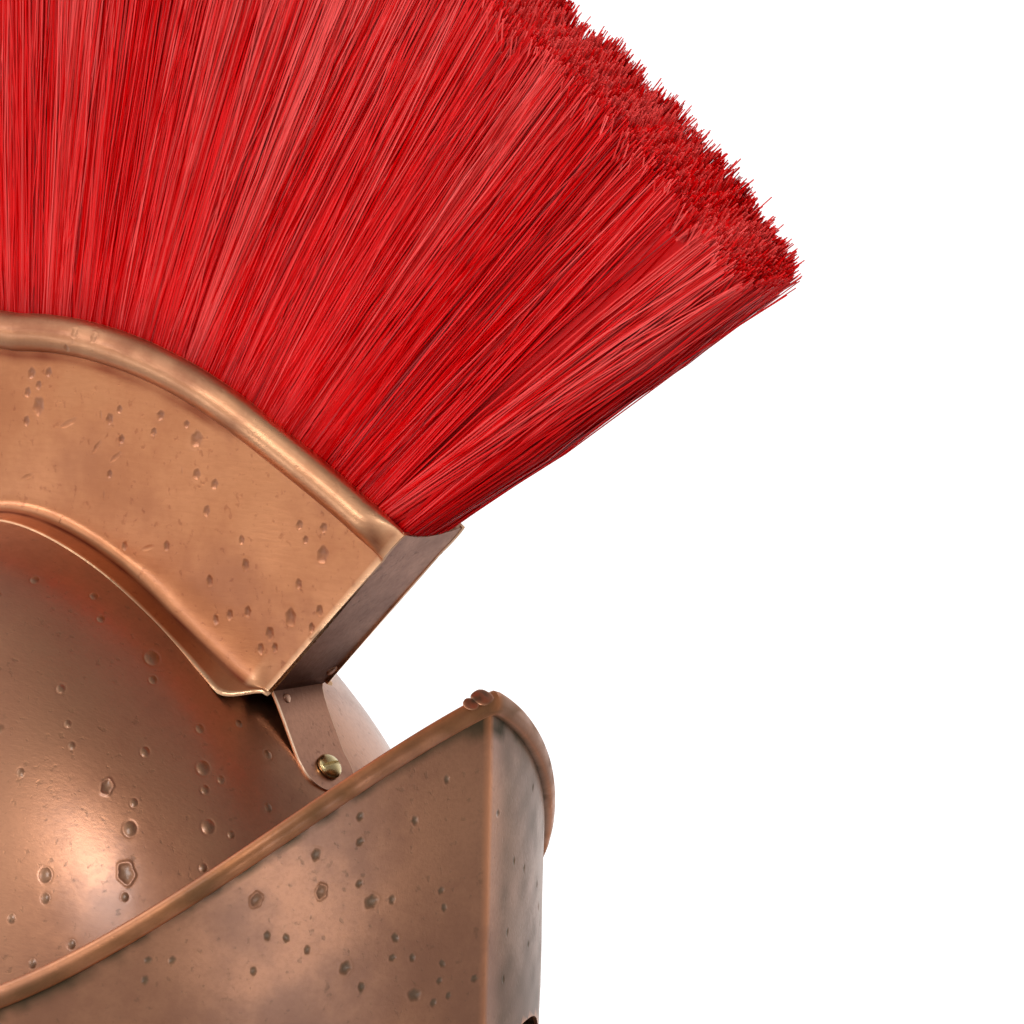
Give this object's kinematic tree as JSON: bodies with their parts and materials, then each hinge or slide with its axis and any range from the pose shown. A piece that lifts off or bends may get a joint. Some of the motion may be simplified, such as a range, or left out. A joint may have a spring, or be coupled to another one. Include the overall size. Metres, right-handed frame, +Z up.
{
  "type": "crested helmet with a bristle crest",
  "caption": "Copper-toned sheet-metal helmet with a domed skull, a ridged face plate, a flared neck guard and a crest box holding a fan of red bristles.",
  "frame": {"origin": "on the base plane, under the middle of the helmet's overall box", "axes": "+Z up, the face opening looks along -Y, +X is the wearer's left"},
  "size_m": [0.231, 0.5316, 0.4722],
  "materials": {
    "antique_copper": "antiqued copper, brushed and pitted, satin",
    "dark_copper": "darkened antique copper, brushed and pitted, satin",
    "aged_brass": "aged brass, satin",
    "red_bristle": "glossy dyed bristle"
  },
  "bodies": {
    "root": {"skull": "dark_copper", "face_plate": "dark_copper", "neck_guard": "dark_copper", "crest_box": "antique_copper", "bristle_crest": "red_bristle", "crest_screw_front": "aged_brass", "crest_screw_rear": "aged_brass", "side_rivet_upper_left": "dark_copper", "side_rivet_middle_left": "dark_copper", "side_rivet_low_left": "dark_copper", "side_rivet_lowest_left": "dark_copper", "side_rivet_upper_right": "dark_copper", "side_rivet_middle_right": "dark_copper", "side_rivet_low_right": "dark_copper", "side_rivet_lowest_right": "dark_copper", "neck_rivet_1": "dark_copper", "neck_rivet_2": "dark_copper", "neck_rivet_3": "dark_copper", "neck_rivet_4": "dark_copper", "neck_rivet_5": "dark_copper"}
  },
  "joints": []
}
